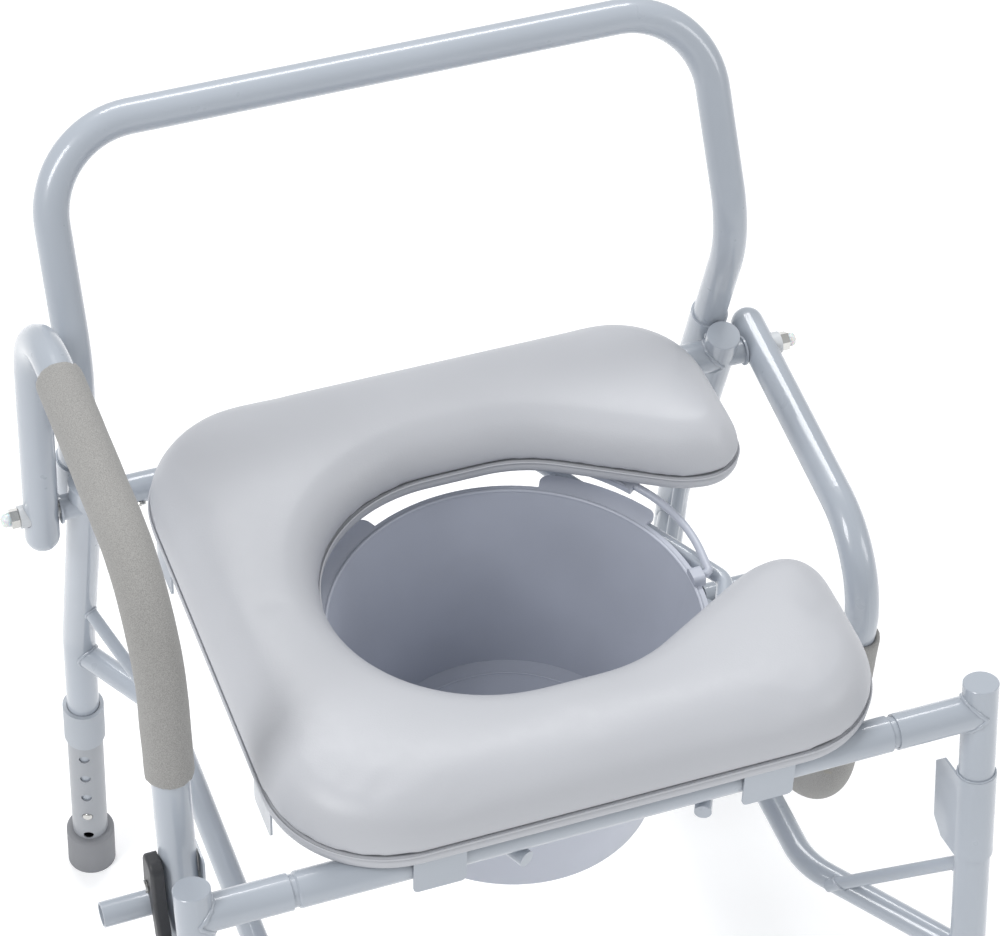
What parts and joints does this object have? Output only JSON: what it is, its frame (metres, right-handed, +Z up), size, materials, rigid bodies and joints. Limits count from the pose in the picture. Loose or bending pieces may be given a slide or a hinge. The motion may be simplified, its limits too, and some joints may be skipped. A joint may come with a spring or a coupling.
{
  "type": "commode chair",
  "caption": "Tubular commode chair with drop arms, a padded seat open at one side, a lift-out pail on carrier rods and height-adjustable legs.",
  "frame": {"origin": "on the floor, at the centre of the outline seen from above, chair as pictured (left arm raised, right arm lowered)", "axes": "+Z up, -Y the front of the chair, +X the side on which the seat is open and the arm is lowered"},
  "size_m": [0.6618, 0.5898, 0.7857],
  "materials": {
    "frame_paint": "satin powder coat",
    "leg_paint": "satin powder coat, a shade darker",
    "plated_steel": "bright plated",
    "grey_plastic": "moulded",
    "tip_rubber": "matt",
    "grip_foam": "closed-cell foam",
    "black_plastic": "moulded",
    "clear_cap": "translucent",
    "nylon": "natural",
    "seat_vinyl": "smooth vinyl",
    "board_plastic": "moulded board",
    "pail_plastic": "satin moulded"
  },
  "bodies": {
    "frame": {"backrest_sockets": "frame_paint", "backrest_tube": "frame_paint", "front_post_left": "frame_paint", "front_post_right": "frame_paint", "front_rail": "frame_paint", "gusset_rods": "frame_paint", "latch_brackets": "frame_paint", "nut_caps": "clear_cap", "pail_carrier_rods": "frame_paint", "pivot_bolts": "plated_steel", "pivot_bosses": "frame_paint", "pivot_nuts": "plated_steel", "post_caps": "frame_paint", "rail_screw": "plated_steel", "rail_stubs": "frame_paint", "rear_leg_left": "frame_paint", "rear_leg_right": "frame_paint", "rear_rail": "frame_paint", "side_stretcher_left": "frame_paint", "side_stretcher_right": "frame_paint", "snap_springs": "plated_steel"},
    "arm_left": {"arm_tube_left": "frame_paint", "arm_grip_left": "grip_foam", "arm_bush_left": "nylon", "arm_saddle_left": "nylon", "arm_handle_left": "frame_paint", "latch_pin_left": "plated_steel", "latch_plate_left": "frame_paint"},
    "latch_left": {"latch_lever_left": "black_plastic"},
    "arm_right": {"arm_tube_right": "frame_paint", "arm_grip_right": "grip_foam", "arm_bush_right": "nylon", "arm_saddle_right": "nylon", "arm_handle_right": "frame_paint", "latch_pin_right": "plated_steel", "latch_plate_right": "frame_paint"},
    "latch_right": {"latch_lever_right": "black_plastic"},
    "leg_front_left": {"leg_extension_front_left": "leg_paint", "leg_collar_front_left": "grey_plastic", "leg_tip_front_left": "tip_rubber"},
    "button_front_left": {"snap_button_front_left": "plated_steel"},
    "leg_front_right": {"leg_extension_front_right": "leg_paint", "leg_collar_front_right": "grey_plastic", "leg_tip_front_right": "tip_rubber"},
    "button_front_right": {"snap_button_front_right": "plated_steel"},
    "leg_rear_left": {"leg_extension_rear_left": "leg_paint", "leg_collar_rear_left": "grey_plastic", "leg_tip_rear_left": "tip_rubber"},
    "button_rear_left": {"snap_button_rear_left": "plated_steel"},
    "leg_rear_right": {"leg_extension_rear_right": "leg_paint", "leg_collar_rear_right": "grey_plastic", "leg_tip_rear_right": "tip_rubber"},
    "button_rear_right": {"snap_button_rear_right": "plated_steel"},
    "seat": {"seat_board": "board_plastic", "seat_pad": "seat_vinyl", "seat_clips": "frame_paint", "clip_screws": "plated_steel"},
    "pail": {"pail": "pail_plastic"},
    "bail": {"pail_handle": "pail_plastic"}
  },
  "joints": [
    {"name": "arm_left_drop", "type": "hinge", "parent": "frame", "child": "arm_left", "pos_m": [-0.2811, 0.17353, 0.493], "axis": [1, 0, 0], "range_deg": [0, 92.3]},
    {"name": "arm_right_drop", "type": "hinge", "parent": "frame", "child": "arm_right", "pos_m": [0.2811, 0.17353, 0.493], "axis": [1, 0, 0], "range_deg": [-92.3, 0]},
    {"name": "latch_left_lever", "type": "hinge", "parent": "arm_left", "child": "latch_left", "pos_m": [-0.27771, -0.16732, 0.47394], "axis": [1, 0, 0], "range_deg": [0, 8], "stiffness_Nm_per_rad": 0.4, "springref_deg": -11.46},
    {"name": "latch_right_lever", "type": "hinge", "parent": "arm_right", "child": "latch_right", "pos_m": [0.27771, 0.20625, 0.15319], "axis": [1, 0, 0], "range_deg": [0, 8], "stiffness_Nm_per_rad": 0.4, "springref_deg": -11.46},
    {"name": "leg_front_left_height", "type": "slide", "parent": "frame", "child": "leg_front_left", "axis": [0, -0.0698, -0.9976], "range_m": [-0.0254, 0.0762], "deforming": ["snap_button_front_left"]},
    {"name": "button_front_left_press", "type": "slide", "parent": "frame", "child": "button_front_left", "axis": [0.3428, 0.9371, -0.0655], "range_m": [0, 0.0035], "stiffness_N_per_m": 800, "springref_m": -0.002},
    {"name": "leg_front_right_height", "type": "slide", "parent": "frame", "child": "leg_front_right", "axis": [0, -0.0698, -0.9976], "range_m": [-0.0254, 0.0762], "deforming": ["snap_button_front_right"]},
    {"name": "button_front_right_press", "type": "slide", "parent": "frame", "child": "button_front_right", "axis": [-0.3428, 0.9371, -0.0655], "range_m": [0, 0.0035], "stiffness_N_per_m": 800, "springref_m": -0.002},
    {"name": "leg_rear_left_height", "type": "slide", "parent": "frame", "child": "leg_rear_left", "axis": [0, 0.0698, -0.9976], "range_m": [-0.0254, 0.0762], "deforming": ["snap_button_rear_left"]},
    {"name": "button_rear_left_press", "type": "slide", "parent": "frame", "child": "button_rear_left", "axis": [0.3428, 0.9371, 0.0655], "range_m": [0, 0.0035], "stiffness_N_per_m": 800, "springref_m": -0.002},
    {"name": "leg_rear_right_height", "type": "slide", "parent": "frame", "child": "leg_rear_right", "axis": [0, 0.0698, -0.9976], "range_m": [-0.0254, 0.0762], "deforming": ["snap_button_rear_right"]},
    {"name": "button_rear_right_press", "type": "slide", "parent": "frame", "child": "button_rear_right", "axis": [-0.3428, 0.9371, 0.0655], "range_m": [0, 0.0035], "stiffness_N_per_m": 800, "springref_m": -0.002},
    {"name": "seat_lift", "type": "slide", "parent": "frame", "child": "seat", "axis": [0, 0, 1], "range_m": [0, 0.15]},
    {"name": "pail_lift", "type": "slide", "parent": "frame", "child": "pail", "axis": [0, 0, 1], "range_m": [0, 0.002]},
    {"name": "bail_swing", "type": "hinge", "parent": "pail", "child": "bail", "pos_m": [0.009, -0.03087, 0.487], "axis": [1, 0, 0], "range_deg": [-4.8, 0.3]}
  ]
}
